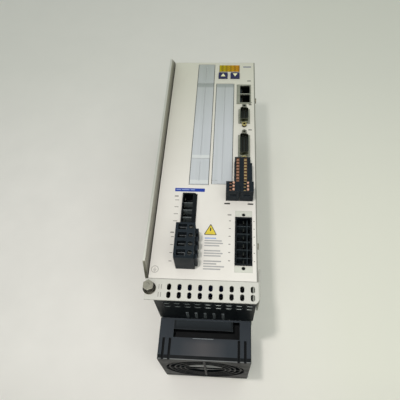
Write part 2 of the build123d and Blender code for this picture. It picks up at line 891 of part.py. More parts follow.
def mains_header():
    """Mains input header, with a thick right wall and a rounded corner."""
    face = front - mains_proud
    left_wall, right_wall, end_wall = mains_walls
    header = block(mains_x, (face, behind(connector_root)), mains_z)
    corner = header.edges().filter_by(Axis.Y).sort_by(Axis.Z)[-2:].sort_by(Axis.X)[-1:]
    header = fillet(corner, 3.0)
    cavity_x = (mains_x[0] + left_wall, mains_x[1] - right_wall)
    header -= block(cavity_x, (face - beyond, behind(cavity_depth)), grow(mains_z, -end_wall))
    return header + block((power_x[1], mains_x[0]), (behind(3), behind(connector_root)), grow(mains_z, -3))


def supply_header():
    """Header under the big plug."""
    base = block(supply_base_x, (front - supply_base_height, behind(connector_root)), supply_base_z)
    foot_y = (behind(3), behind(connector_root))
    return base + block((power_x[1], supply_base_x[0]), foot_y, grow(supply_base_z, -3))


def power_pins():
    """Blades of the motor, mains and supply headers."""
    pins = []
    floor = behind(cavity_depth)
    for z in pole_heights(motor_z, motor_poles):
        x = grow((sum(motor_x) / 2,) * 2, 0.5)
        pins.append(block(x, (behind(2), floor), grow((z, z), blade_height / 2)))
    for z in pole_heights(mains_z, mains_poles):
        x = grow((mains_x[0] + 2.4,) * 2, 0.5)
        pins.append(block(x, (behind(2), floor), grow((z, z), blade_height / 2)))
    for z in pole_heights(supply_z, supply_poles):
        pins.append(rod_y(sum(supply_base_x) / 2, z, (front - 13, front - supply_base_height), 0.8))
    return separate(pins)


def supply_plug():
    """Big four-pole plug with wire pockets, screw wells, ribs on its right and a chamfered foot."""
    plug = block(supply_x, (supply_face, front - seam), supply_z)
    foot = plug.edges().filter_by(Axis.X).group_by(Axis.Z)[0].sort_by(Axis.Y)[0]
    plug = chamfer(foot, 2.4)
    rib_x = (supply_x[1] - 0.2, supply_x[1] + plug_rib_proud + 0.2)
    for z in pole_heights(supply_z, supply_poles):
        plug += block(rib_x, (front - 18, front - 2.5), grow((z, z), plug_rib_height / 2))
    socket_y = (front - supply_base_height - seam, front + beyond)
    plug -= block(grow(supply_base_x, seam), socket_y, grow(supply_base_z, seam))
    well_y = (supply_face - beyond, supply_face + pocket_depth)
    for z in pole_heights(supply_z, supply_poles):
        plug -= block(pocket_x, well_y, grow((z, z), pocket_size / 2))
        plug -= rod_y(clamp_x, z, well_y, clamp_radius + slip)
        plug -= rod_y(sum(supply_base_x) / 2, z, (front - 13.5, front), 1.1)
    return plug


def supply_plug_screws():
    """Slotted clamp screws in their wells."""
    screws = []
    for z in pole_heights(supply_z, supply_poles):
        y = (supply_face + 1.0, supply_face + pocket_depth)
        screw = rod_y(clamp_x, z, y, clamp_radius)
        slot = block(grow((clamp_x, clamp_x), 3), (y[0] - beyond, y[0] + 0.8), grow((z, z), 0.3))
        screws.append(screw - slot)
    return separate(screws)


# Fan module


def fan_housing():
    """Moulded box: duct and motor mount below, open plenum and finger recess above."""
    box = block(module_x, module_y, module_z)
    box = fillet(box.edges().filter_by(Axis.Z), corner_radius)
    plenum_x = grow(module_x, -module_wall)
    plenum_y = (module_y[0] + recess_depth + module_wall, module_y[1] - module_wall)
    plenum = block(plenum_x, plenum_y, (duct_top, 1))
    for x in (-mount_spacing / 2, mount_spacing / 2):
        plenum -= block((x - 8, x + 8), (module_y[1] - 8, module_y[1]), (duct_top - 1, 2))
    box -= plenum
    box -= block(recess_x, (module_y[0] - 1, module_y[0] + recess_depth), recess_z)
    box -= rod_z(fan_x, fan_y, (-module_height - 1, duct_top + 1), duct_radius)
    for x in (-mount_spacing / 2, mount_spacing / 2):
        box -= block((x - 5.8, x + 5.8), (module_y[1] - 6, module_y[1] + 1), (mount_foot - 6, 2))
    for x in groove_x:
        groove_y = (module_y[0] - beyond, module_y[0] + groove_depth)
        box -= block(grow((x, x), groove_width / 2), groove_y, (-module_height - beyond, duct_top))
    return box + motor_mount()


def motor_mount():
    """Plate on four struts at the top of the duct, with the tube that holds the bearings."""
    z = (duct_top - mount_sheet, duct_top)
    mount = rod_z(fan_x, fan_y, z, mount_radius)
    for turn in range(4):
        angle = pi / 4 + turn * pi / 2
        reach = Pos(fan_x + cos(angle) * 25, fan_y + sin(angle) * 25, sum(z) / 2)
        strut = reach * Rot(0, 0, 45 + turn * 90) * Box(24, 2.4, abs(z[1] - z[0]))
        mount += strut & rod_z(fan_x, fan_y, z, duct_radius)
    tube = rod_z(fan_x, fan_y, (tube_foot, duct_top), bearing_radius + tube_wall)
    return mount + tube - rod_z(fan_x, fan_y, (tube_foot - 1, duct_top - 1), bearing_radius)


def fan_bearings():
    """Upper and lower bearing in the tube."""
    rings = []
    for low in (tube_foot, duct_top - 1 - bearing_length):
        z = (low, low + bearing_length)
        bore = rod_z(fan_x, fan_y, grow(z, beyond), shaft_radius + bearing_gap)
        rings.append(rod_z(fan_x, fan_y, z, bearing_radius) - bore)
    return separate(rings)


def fan_stator():
    """Wound core round the bearing tube."""
    z = (duct_top - 11, duct_top - mount_sheet)
    core = rod_z(fan_x, fan_y, z, stator_radius)
    core -= rod_z(fan_x, fan_y, grow(z, beyond), bearing_radius + tube_wall)
    for turn in range(8):
        gap = Pos(stator_radius - 1, 0, 0) * Box(4, 1.6, 20)
        core -= Pos(fan_x, fan_y, sum(z) / 2) * Rot(0, 0, turn * 45) * gap
    return core


def fan_shaft():
    """Shaft fixed in the hub and turning in the bearings."""
    return rod_z(fan_x, fan_y, (hub_foot + 1.0, duct_top - 1.4), shaft_radius)


def fan_impeller():
    """Cup-shaped hub with twisted blades."""
    hub_top = duct_top - mount_sheet - hub_gap
    hub = rod_z(fan_x, fan_y, (hub_foot, hub_top), hub_radius)
    hub -= rod_z(fan_x, fan_y, (hub_foot + hub_wall, duct_top), hub_radius - hub_wall)
    hub += rod_z(fan_x, fan_y, (hub_foot, hub_foot + 2 * hub_wall), boss_radius)
    hub -= rod_z(fan_x, fan_y, (hub_foot + 1.0, duct_top), shaft_radius)
    tip = duct_radius - blade_gap
    middle = (hub_foot + hub_top) / 2
    inner = blade_section(hub_radius - 0.6, *blade_root)
    outer = blade_section(tip + beyond, *blade_tip)
    ring = rod_z(0, 0, (hub_foot - middle + 0.6, hub_top - middle - 0.6), tip)
    blade = loft([inner, outer]) & ring
    for i in range(blade_count):
        hub += Pos(fan_x, fan_y, middle) * Rot(0, 0, i * 360 / blade_count) * blade
    return hub


def blade_section(radius, pitch, chord):
    """Section of a blade at one radius, turned by its pitch from level."""
    plane = Plane(origin=(radius, 0, 0), x_dir=(0, 1, 0), z_dir=(1, 0, 0))
    return plane * (Rot(0, 0, pitch) * Rectangle(chord, blade_sheet))


def finger_guard():
    """Rings and a cross of bars in the mouth of the duct."""
    z = grow((-module_height + 1.1,) * 2, guard_wire / 2)
    long = (-duct_radius, duct_radius)
    short = (-guard_bar / 2, guard_bar / 2)
    cross = block(long, short, z) + block(short, long, z)
    guard = Pos(fan_x, fan_y, 0) * cross & rod_z(fan_x, fan_y, grow(z, beyond), duct_radius)
    for radius in guard_rings:
        ring = rod_z(fan_x, fan_y, z, radius)
        guard += ring - rod_z(fan_x, fan_y, grow(z, beyond), radius - guard_wire)
    return guard


def fan_grip():
    """Grip slab across the top of the finger recess, let into the housing's front."""
    return block(grip_x, (module_y[0], module_y[0] + grip_depth), grip_z)


def fan_plug():
    """Contact block that rises from the module into the drive."""
    return block(fan_plug_x, fan_plug_y, (-8, 6))


def fan_socket():
    """Socket in the drive that the contact block slides up into."""
    outer = block(grow(fan_plug_x, 1.6), (fan_plug_y[0] - 1.6, -rear_sheet), (2, 13))
    return outer - block(grow(fan_plug_x, seam), grow(fan_plug_y, seam), (1, 6 + seam))


parts = {
    "rear_plate": rear_plate(),
    "chassis": chassis(),
    "casing_screws": casing_screws(),
    "bottom_cap": bottom_cap(),
    "bottom_grille": bottom_grille(),
    "front_cover": front_cover(),
    "slot_frame": slot_frame(),
    "card_guides": card_guides(),
    "side_plate": side_plate(),
    "side_plate_spacers": side_plate_spacers(),
    "side_plate_screws": side_plate_screws(),
    "earth_screw": earth_screw(),
    "earth_washers": earth_washers(),
    "heatsink": heatsink(),
    "power_module": power_module(),
    "power_board": power_board(),
    "capacitors": capacitors(),
    "control_board": control_board(),
    "display_board": display_board(),
    "display_module": display_module(),
    "display_window": display_window(),
    "button_switches": button_switches(),
    "network_shield": network_shield(),
    "network_inserts": network_inserts(),
    "dsub_shells": dsub_shells(),
    "dsub_inserts": dsub_inserts(),
    "dsub_jackscrews": dsub_jackscrews(),
    "signal_header": signal_header(),
    "signal_contacts": signal_contacts(),
    "motor_header": motor_header(),
    "mains_header": mains_header(),
    "supply_header": supply_header(),
    "power_pins": power_pins(),
    "supply_plug": supply_plug(),
    "supply_plug_screws": supply_plug_screws(),
    "fan_housing": fan_housing(),
    "fan_grip": fan_grip(),
    "finger_guard": finger_guard(),
    "fan_stator": fan_stator(),
    "fan_bearings": fan_bearings(),
    "fan_impeller": fan_impeller(),
    "fan_shaft": fan_shaft(),
    "fan_plug": fan_plug(),
    "fan_socket": fan_socket(),
}
parts.update(slot_covers())
for name, x in button_x.items():
    parts[name] = button(x)
for side in io_plug_x:
    parts[f"io_plug_{side}"] = io_plug(side)
    parts[f"io_clamps_{side}"] = io_clamps(side)
    for row, z in enumerate(io_rows(), start=1):
        parts[f"release_{side}_{row}"] = release_key(side, z)

os.makedirs("parts", exist_ok=True)
for name, shape in parts.items():
    save(name, shape)
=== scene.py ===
"""Look of the servo drive: finishes of the CAD nodes, printed marks, small fittings and studio."""

import json
from math import cos, pi, sin

import bmesh
import bpy
from mathutils import Matrix, Vector


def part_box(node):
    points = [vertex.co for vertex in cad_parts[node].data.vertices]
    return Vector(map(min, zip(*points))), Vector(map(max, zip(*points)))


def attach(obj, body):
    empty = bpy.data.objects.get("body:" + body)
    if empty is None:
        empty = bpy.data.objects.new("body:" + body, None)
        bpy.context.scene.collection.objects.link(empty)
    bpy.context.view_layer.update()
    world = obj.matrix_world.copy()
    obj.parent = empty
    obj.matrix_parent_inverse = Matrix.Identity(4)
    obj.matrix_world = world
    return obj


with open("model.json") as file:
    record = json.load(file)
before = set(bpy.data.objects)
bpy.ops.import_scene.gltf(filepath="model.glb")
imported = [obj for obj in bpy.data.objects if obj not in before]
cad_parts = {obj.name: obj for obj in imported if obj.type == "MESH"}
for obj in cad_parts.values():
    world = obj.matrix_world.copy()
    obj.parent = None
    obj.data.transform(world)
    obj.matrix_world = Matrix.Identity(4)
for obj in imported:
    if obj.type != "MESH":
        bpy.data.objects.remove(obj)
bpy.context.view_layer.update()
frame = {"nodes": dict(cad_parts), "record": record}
nodes = frame["nodes"]

scene = bpy.context.scene
scene.view_settings.view_transform = "Standard"
scene.view_settings.look = "None"

# Lengths are in metres, except where a comment or a name says millimetres.
MM = 0.001
cover_low, cover_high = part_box("front_cover")
LEFT, RIGHT, FRONT, TOP = cover_low.x, cover_high.x, cover_low.y, cover_high.z

# Camera, solved from the edges of the drive
LENS_MM, SENSOR_MM, CLIP_START = 37.55, 36.0, 0.01
CAMERA_PLACE = (0.0197, -0.4537, -0.1052)
CAMERA_FORWARD = (-0.0690, 0.8488, 0.5242)
CAMERA_UP = (-0.0247, -0.5268, 0.8497)

# Studio: place, target, size, watts and colour of each light
ROOM_COLOUR, ROOM_STRENGTH = (0.93, 1.0, 0.97, 1), 0.54
KEY = ((-0.09, -0.75, -0.036), (0.02, -0.05, 0.03), 0.04, 0.36, (1.0, 0.965, 0.95))
KEY_SPREAD = 1.6
FILL = ((0.1, -0.75, -0.55), (0.0, -0.1, 0.1), 1.0, 6.2, (0.97, 1.0, 0.985))
REACH, WALL_BACK, GROUND = 3.0, 0.0008, -0.5
WALL_CLEAR_RANGE = 0.004

# Surfaces: spread of roughness, edge marks of use and painted highlights, height of the bumps,
# softness of masks
NOISE_ROUGHNESS = 0.55
ROUGH_SPREAD, SMOOTHEST = 0.08, 0.05
EDGE_TURN = 0.3
WEAR_AND_GLINT_SIZE, WEAR_AND_GLINT_LEAST = 0.004, 0.35
BUMP_SHARE = 0.3
SOFT = 0.0002

# Prints and fittings
INK_PROUD, INK_SUNK = 0.07 * MM, 0.02 * MM
PITCH_MM = 7.62
PITCH = PITCH_MM * MM
STRIP_TOP = 0.018
RIB_HALF = 0.3 * MM


# Camera and studio


def place_camera():
    """Camera in front of the drive and below it, looking up at the front."""
    data = bpy.data.cameras.new("camera")
    data.lens = LENS_MM
    data.sensor_width = SENSOR_MM
    data.clip_start = CLIP_START
    camera = bpy.data.objects.new("camera", data)
    scene.collection.objects.link(camera)
    forward = Vector(CAMERA_FORWARD).normalized()
    right = forward.cross(Vector(CAMERA_UP)).normalized()
    up = right.cross(forward)
    turn = Matrix((right, up, -forward)).transposed().to_4x4()
    camera.matrix_world = Matrix.Translation(CAMERA_PLACE) @ turn
    scene.camera = camera


def area_light(name, place, target, size, power, colour):
    """Soft square light that points at a target."""
    data = bpy.data.lights.new(name, "AREA")
    data.size = size
    data.energy = power
    data.color = colour
    light = bpy.data.objects.new(name, data)
    scene.collection.objects.link(light)
    light.location = place
    light.rotation_euler = (Vector(target) - Vector(place)).to_track_quat("-Z", "Y").to_euler()
    return light


def light_studio():
    """Small key from the left that the side plate doesn't block, a broad low fill, a dim room."""
    world = bpy.data.worlds.new("room")
    scene.world = world
    world.use_nodes = True
    background = world.node_tree.nodes["Background"]
    background.inputs["Color"].default_value = ROOM_COLOUR
    background.inputs["Strength"].default_value = ROOM_STRENGTH
    key = area_light("key", *KEY)
    key.data.spread = KEY_SPREAD
    area_light("fill", *FILL)
    blockers = bpy.data.collections.new("key_blockers")
    blockers.objects.link(nodes["side_plate"])
    key.light_linking.blocker_collection = blockers
    blockers.collection_objects[0].light_linking.link_state = "EXCLUDE"


# Material building


def linear(r, g, b):
    """Linear colour from display values of 0 to 255."""
    def one(v):
        v /= 255
        return v / 12.92 if v <= 0.04045 else ((v + 0.055) / 1.055) ** 2.4

    return (one(r), one(g), one(b), 1.0)


def shade(colour, factor):
    """Colour made lighter or darker."""
    return tuple(min(1.0, c * factor) for c in colour[:3]) + (1.0,)


class Tree:
    """Node tree of one material, with short calls for the nodes used here."""

    def __init__(self, name):
        self.material = bpy.data.materials.new(name)
        self.material.use_nodes = True
        self.tree = self.material.node_tree
        self.shader = self.tree.nodes["Principled BSDF"]
        self.coords = self.node("ShaderNodeTexCoord").outputs["Object"]

    def node(self, kind, **settings):
        """New node with its settings."""
        made = self.tree.nodes.new(kind)
        for key, value in settings.items():
            setattr(made, key, value)
        return made

    def feed(self, socket, value):
        """Link another socket to this one, or set its value."""
        if isinstance(value, bpy.types.NodeSocket):
            self.tree.links.new(value, socket)
        else:
            socket.default_value = value

    def scaled(self, stretch):
        """Object coordinates stretched along the axes."""
        mapping = self.node("ShaderNodeMapping")
        mapping.inputs["Scale"].default_value = stretch
        self.feed(mapping.inputs["Vector"], self.coords)
        return mapping.outputs["Vector"]

    def noise(self, size, vector=None, detail=3.0):
        """Noise with features of about this size."""
        made = self.node("ShaderNodeTexNoise")
        made.inputs["Scale"].default_value = 1 / size
        made.inputs["Detail"].default_value = detail
        made.inputs["Roughness"].default_value = NOISE_ROUGHNESS
        self.feed(made.inputs["Vector"], vector or self.coords)
        return made.outputs["Fac"]

    def span(self, value, low, high, to_low=0.0, to_high=1.0):
        """Value carried from one range to another, and held at its ends."""
        made = self.node("ShaderNodeMapRange", clamp=True)
        self.feed(made.inputs["Value"], value)
        ends = {"From Min": low, "From Max": high, "To Min": to_low, "To Max": to_high}
        for key, end in ends.items():
            self.feed(made.inputs[key], end)
        return made.outputs["Result"]

    def mix(self, factor, a, b):
        """Colour a turned into colour b by a factor."""
        made = self.node("ShaderNodeMix", data_type="RGBA")
        for socket in made.inputs:
            if socket.name == "Factor" and socket.type == "VALUE":
                self.feed(socket, factor)
            if socket.name == "A" and socket.type == "RGBA":
                self.feed(socket, a)
            if socket.name == "B" and socket.type == "RGBA":
                self.feed(socket, b)
        return [s for s in made.outputs if s.type == "RGBA"][0]

    def math(self, operation, a, b):
        """Result of one sum on two values."""
        made = self.node("ShaderNodeMath", operation=operation)
        self.feed(made.inputs[0], a)
        self.feed(made.inputs[1], b)
        return made.outputs[0]

    def axis(self, name):
        """Object coordinate along one axis."""
        made = self.node("ShaderNodeSeparateXYZ")
        self.feed(made.inputs[0], self.coords)
        return made.outputs[name]

    def rise(self, axis, low, high, peak=1.0):
        """Mask that rises from 0 between two places along an axis."""
        return self.span(self.axis(axis), low, high, 0.0, peak)

    def fall(self, axis, low, high, peak=1.0):
        """Mask that falls to 0 between two places along an axis."""
        return self.span(self.axis(axis), low, high, peak, 0.0)

    def within(self, axis, low, high, soft=SOFT):
        """Mask between two places along an axis, with soft ends outside them."""
        return self.product(self.rise(axis, low - soft, low), self.fall(axis, high, high + soft))

    def product(self, *masks):
        """Product of several masks, the first of them a socket."""
        result = masks[0]
        for mask in masks[1:]:
            result = self.math("MULTIPLY", result, mask)
        return result

    def paint(self, base, rgb, *masks):
        """Base with a colour, in display values, where all the masks overlap."""
        return self.mix(self.product(*masks), base, linear(*rgb))

    def edges(self, radius):
        """Mask that rises towards the sharp edges, and the rounded normal."""
        bevel = self.node("ShaderNodeBevel", samples=4)
        bevel.inputs["Radius"].default_value = radius
        dot = self.node("ShaderNodeVectorMath", operation="DOT_PRODUCT")
        self.feed(dot.inputs[0], bevel.outputs["Normal"])
        self.feed(dot.inputs[1], self.node("ShaderNodeNewGeometry").outputs["Normal"])
        return self.span(dot.outputs["Value"], 1.0, 1.0 - EDGE_TURN), bevel.outputs["Normal"]


def finish(
    name,
    colour,
    rough=0.5,
    metallic=0.0,
    mottle=0.05,
    mottle_size=0.03,
    grain=0.0012,
    bump=0.08,
    stretch=(1, 1, 1),
    edge=None,
    edge_radius=0.0005,
    edge_amount=0.6,
    specular=0.5,
    tint=None,
):
    """Surface with mottled colour, uneven roughness, fine bump and, if asked, edges marked by use
    and by painted highlights.
    """
    t = Tree(name)
    vector = t.scaled(stretch)
    large = t.span(t.noise(mottle_size, vector), 0.3, 0.7)
    fine = t.noise(grain, vector, detail=2.0)
    base = t.mix(large, shade(colour, 1 - mottle), shade(colour, 1 + mottle))
    if tint:
        base = tint(t, base)
    normal = None
    if edge:
        # Edge colour marks use and stands for painted highlights where edges catch the light.
        mask, normal = t.edges(edge_radius)
        wear_and_glint = t.span(t.noise(WEAR_AND_GLINT_SIZE), 0.3, 0.62, edge_amount * WEAR_AND_GLINT_LEAST, edge_amount)
        base = t.mix(t.product(mask, wear_and_glint), base, edge)
    t.feed(t.shader.inputs["Base Color"], base)
    uneven = t.math("ADD", t.product(large, 0.6), t.product(fine, 0.4))
    smooth, dull = max(SMOOTHEST, rough - ROUGH_SPREAD), rough + ROUGH_SPREAD
    t.feed(t.shader.inputs["Roughness"], t.span(uneven, 0.2, 0.8, smooth, dull))
    bumps = t.node("ShaderNodeBump")
    bumps.inputs["Strength"].default_value = bump
    bumps.inputs["Distance"].default_value = grain * BUMP_SHARE
    t.feed(bumps.inputs["Height"], fine)
    if normal:
        t.feed(bumps.inputs["Normal"], normal)
    t.feed(t.shader.inputs["Normal"], bumps.outputs["Normal"])
    t.shader.inputs["Metallic"].default_value = metallic
    t.shader.inputs["Specular IOR Level"].default_value = specular
    return t.material


# Tints: how a finish changes from place to place


def paper_tint(t, base):
    """White paint turned darker and yellower towards the top by painted shade, with faint smudges.
    """
    # Painted shade: darker and yellower towards the top.
    base = t.paint(base, (206, 205, 187), t.rise("Z", 0.10, TOP, 0.85))
    smudges = t.noise(0.035, t.scaled((1, 1, 0.5)), detail=5.0)
    return t.paint(base, (176, 170, 156), t.span(smudges, 0.58, 0.8, 0.0, 0.16))


def streaks_and_painted_light(t, base):
    """Fine streaks up the sheet, a top darkened by painted shade, two pale bands at the left that
    are painted highlights and a dark one above that is painted shade.
    """
    streak = t.span(t.noise(0.005, t.scaled((1, 1, 0.03)), detail=2.0), 0.3, 0.7, 0.45, 1.0)
    base = t.mix(streak, linear(186, 192, 192), base)
    # Painted shade: darker towards the top.
    base = t.paint(base, (158, 164, 154), t.rise("Z", 0.18, TOP, 0.75))
    left_slot = t.fall("X", LEFT + 0.0455, LEFT + 0.0465)
    # Painted highlights: two pale bands on the left slot's cover.
    for low, high in ((0.1428, 0.1462), (0.1135, 0.1165)):
        base = t.paint(base, (236, 238, 234), left_slot, t.within("Z", low, high, 0.001), 0.45)
    # Painted shade: a dark band at the upper split.
    return t.paint(base, (120, 128, 120), t.within("Z", 0.2415, 0.2456, 0.002), 0.45)


def frame_tint(t, base):
    """Sheet in the shade of the cover darkens towards black just behind its face."""
    near = t.rise("Y", FRONT + 0.0009, FRONT + 0.0011)
    return t.paint(base, (34, 36, 32), near, t.fall("Y", FRONT + 0.0027, FRONT + 0.0031))


def cover_tint(t, base):
    """White paint with shaded flanges, a right rim and lip darkened by painted shade, header zones
    and a duller lower strip.
    """
    base = paper_tint(t, base)
    behind = t.rise("Y", FRONT + 0.0009, FRONT + 0.0011)
    flange = t.product(behind, t.fall("Z", STRIP_TOP - 0.0008, STRIP_TOP - 0.0004))
    fold = (RIGHT - 0.0012, RIGHT - 0.0008)
    base = t.paint(base, (96, 98, 88), flange, t.fall("X", *fold))
    base = t.paint(base, (132, 134, 120), flange, t.rise("X", *fold))
    # Painted shade: a dark line along the right rim and on the lip's front edge.
    rim = t.within("X", RIGHT - 0.0011, RIGHT - 0.0002, 0.0001)
    base = t.paint(base, (88, 92, 80), rim, t.rise("Z", STRIP_TOP, STRIP_TOP + SOFT), 0.85)
    lip = t.rise("X", RIGHT + 0.0002, RIGHT + 0.0003)
    base = t.paint(base, (110, 114, 100), lip, t.fall("Y", FRONT + 0.0003, FRONT + 0.0006, 0.6))
    zones = t.math("ADD", t.within("Z", 0.0257, 0.0311), t.within("Z", 0.0785, 0.0841))
    base = t.paint(base, (208, 208, 197), zones, t.within("X", RIGHT - 0.0192, RIGHT - 0.0045))
    return t.paint(base, (176, 178, 168), t.fall("Z", STRIP_TOP - SOFT, STRIP_TOP), 0.5)


def module_tint(t, base):
    """Fan module's face with a painted sheen and a painted highlight on its bottom edge, painted
    shade in its recess and on its dark underside, and the comb's brown wells.
    """
    low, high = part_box("fan_housing")
    module = t.fall("Z", -0.0006, -0.0002)
    face = t.product(module, t.within("Y", low.y - 0.001, low.y + 0.0003))
    base = t.paint(base, (52, 57, 63), face)
    middle = (low.x + high.x) / 2
    left_side = t.rise("X", middle - 0.022, middle - 0.002)
    right_side = t.fall("X", middle + 0.001, middle + 0.02)
    # Painted highlight: a pale sheen down the middle of the face.
    sheen = t.product(face, left_side, right_side, t.within("Z", low.z + 0.004, -0.022, 0.006))
    base = t.paint(base, (84, 82, 84), sheen, 0.8)
    # Painted shade: black in the recess and grooves behind the face.
    base = t.paint(base, (6, 8, 10), module, t.within("Y", low.y + 0.0006, low.y + 0.0106))
    # Painted shade: a dark band on the underside.
    base = t.paint(base, (10, 14, 17), t.within("Z", low.z - 0.001, low.z + 0.0035))
    # Painted highlight: a pale line along the face's bottom edge.
    base = t.paint(base, (120, 122, 122), face, t.within("Z", low.z - 0.001, low.z + 0.0006))
    comb_low, comb_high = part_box("signal_header")
    wells = t.product(
        t.within("Z", comb_low.z + 0.011, comb_high.z - 0.0012),
        t.within("Y", comb_low.y - 0.001, comb_low.y + 0.004),
    )
    for start in (0.0076, 0.0147):
        column = t.within("X", comb_low.x + start, comb_low.x + start + 0.0028)
        base = t.paint(base, (112, 84, 62), wells, column)
    return base


def grip_tint(t, base):
    """Grip slab darkens towards its ends by painted shade and towards its foot, and is black behind
    its face by painted shade.
    """
    low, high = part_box("fan_grip")
    # Painted shade: dark ends.
    left_end = t.within("X", low.x - 0.001, low.x + 0.0012, 0.001)
    right_end = t.within("X", high.x - 0.0012, high.x + 0.001, 0.001)
    base = t.paint(base, (14, 17, 20), t.math("ADD", left_end, right_end), 0.8)
    base = t.paint(base, (22, 27, 31), t.fall("Z", low.z + 0.0015, low.z + 0.006, 0.85))
    # Painted shade: black behind the face.
    return t.paint(base, (6, 8, 10), t.rise("Y", low.y + 0.0003, low.y + 0.0007))


def post_tint(t, base):
    """Brass posts, dark behind their faces, with a dull grey one above each connector."""
    upper = t.math("ADD", t.within("Z", 0.2070, 0.2140), t.within("Z", 0.1722, 0.1783))
    base = t.paint(base, (148, 148, 136), upper)
    return t.paint(base, (58, 50, 28), t.rise("Y", FRONT - 0.0024, FRONT - 0.0020))


def recess_tint(t, base):
    """Plated pieces get painted shade: dark on their proud rims, and in shade behind the cover's
    face.
    """
    # Painted shade on the proud rims and the inside walls.
    base = t.paint(base, (62, 66, 52), t.fall("Y", FRONT - 0.0010, FRONT - 0.0007))
    return t.paint(base, (54, 56, 52), t.rise("Y", FRONT + 0.0012, FRONT + 0.0018))


def rib_tint(t, base):
    """Pressed ribs under the floor turn a pale grey."""
    return t.paint(base, (82, 88, 90), t.fall("Z", -0.0005, -0.0002, 0.8))


def wall_tint(t, base):
    """Wall paint turns a little greener to the right by a painted colour cast of the light, and
    darker towards the top and the foot by painted shade.
    """
    # Painted colour cast of the light: greener to the right.
    base = t.paint(base, (243, 241, 228), t.rise("X", 0.0, 0.15))
    # Painted shade: darker towards the foot and the top.
    base = t.paint(base, (226, 221, 215), t.fall("Z", -0.14, -0.02, 0.8))
    return t.paint(base, (232, 231, 221), t.rise("Z", 0.18, 0.42, 0.5))


def screw_tint(t, base):
    """Grey earth screw on washers darkened by painted shade at the left, blackened screws at the
    motor header.
    """
    corner = t.fall("X", LEFT + 0.009, LEFT + 0.0095)
    # Painted shade: the sides of the head and the washers turn dark.
    base = t.paint(base, (46, 43, 34), t.within("Y", FRONT - 0.0075, FRONT - 0.0008), corner)
    base = t.paint(base, (150, 147, 134), t.within("Y", FRONT - 0.009, FRONT - 0.0076), corner)
    ahead = t.fall("Y", FRONT + 0.009, FRONT + 0.0095)
    aside = t.rise("X", LEFT + 0.012, LEFT + 0.013)
    inward = t.fall("X", RIGHT - 0.002, RIGHT - 0.001)
    return t.paint(base, (34, 36, 36), ahead, aside, inward)


def brushed_tint(t, base):
    """Brush lines up the plate, with painted light: paler where it stands proud, painted shade at
    the front, and a painted highlight on its bright rim.
    """
    line = t.span(t.noise(0.0016, t.scaled((1, 1, 0.02)), detail=5.0), 0.35, 0.65)
    base = t.mix(line, linear(99, 99, 86), base)
    # Painted light: paler where the plate stands proud.
    base = t.paint(base, (172, 170, 156), t.fall("Y", FRONT - 0.0185, FRONT - 0.006, 0.75))
    base = t.paint(base, (66, 66, 54), t.within("Y", FRONT - 0.007, FRONT + 0.002, 0.004), 0.5)
    # Painted highlight: a bright line along the front rim.
    return t.paint(base, (226, 224, 214), t.fall("Y", FRONT - 0.0192, FRONT - 0.0188))


def window_tint(t, base):
    """Olive at the left, amber at the right, with darker upright bands between the digits."""
    low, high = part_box("display_window")
    side = t.rise("X", low.x + 0.004, high.x - 0.002)
    base = t.mix(side, linear(182, 164, 4), linear(208, 142, 4))
    wave = t.node("ShaderNodeTexWave", wave_type="BANDS", bands_direction="X")
    wave.inputs["Scale"].default_value = 1 / 0.0145
    wave.inputs["Distortion"].default_value = 0.4
    t.feed(wave.inputs["Vector"], t.coords)
    return t.paint(base, (112, 84, 2), t.span(wave.outputs["Fac"], 0.1, 0.9, 0.5, 0.0))


def contact_tint(t, base):
    """Salmon contacts in the comb's left column, golden at its right, D connector pins darkened by
    painted shade.
    """
    low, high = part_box("signal_header")
    middle = low.x * 0.42 + high.x * 0.58
    right_side = t.rise("X", middle - 0.001, middle + 0.001)
    base = t.mix(right_side, linear(198, 146, 122), linear(208, 182, 128))
    # Painted shade on the pins inside the D connectors.
    return t.paint(base, (52, 50, 40), t.rise("Z", high.z, high.z + 0.002))


